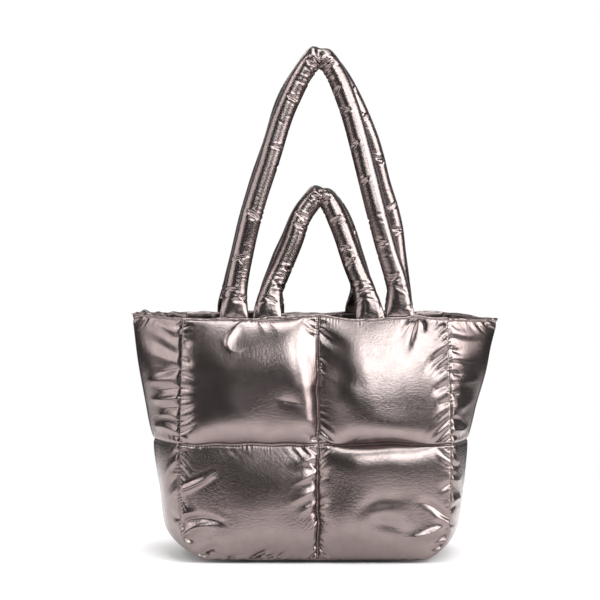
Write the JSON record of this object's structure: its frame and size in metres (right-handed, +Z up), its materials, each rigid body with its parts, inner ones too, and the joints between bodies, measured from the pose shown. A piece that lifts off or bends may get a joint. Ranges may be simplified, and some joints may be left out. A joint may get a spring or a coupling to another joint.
{
  "type": "puffer tote bag",
  "caption": "Open-top quilted puffer tote in metallic coated fabric, standing on a padded base, with stuffed tube handles in a short pair and a long pair.",
  "frame": {"origin": "on the floor under the middle of the bag, where it stands on its padded base", "axes": "+Z up, +X to the right as the front is looked at, +Y from the front panel to the back panel"},
  "size_m": [0.3971, 0.1789, 0.5506],
  "materials": {
    "shell_fabric": "satin metallic coated woven cloth, pewter with a rose-brown cast, quilted over wadding",
    "facing_fabric": "satin metallic coated woven cloth, unpadded, inside the rim",
    "handle_fabric": "satin metallic coated woven cloth over a soft round filling"
  },
  "bodies": {
    "root": {"front_panel": "shell_fabric", "back_panel": "shell_fabric", "gusset": "shell_fabric", "rim_facing": "facing_fabric", "long_handle_front": "handle_fabric", "long_handle_back": "handle_fabric", "short_handle_front": "handle_fabric", "short_handle_back": "handle_fabric"}
  },
  "joints": []
}
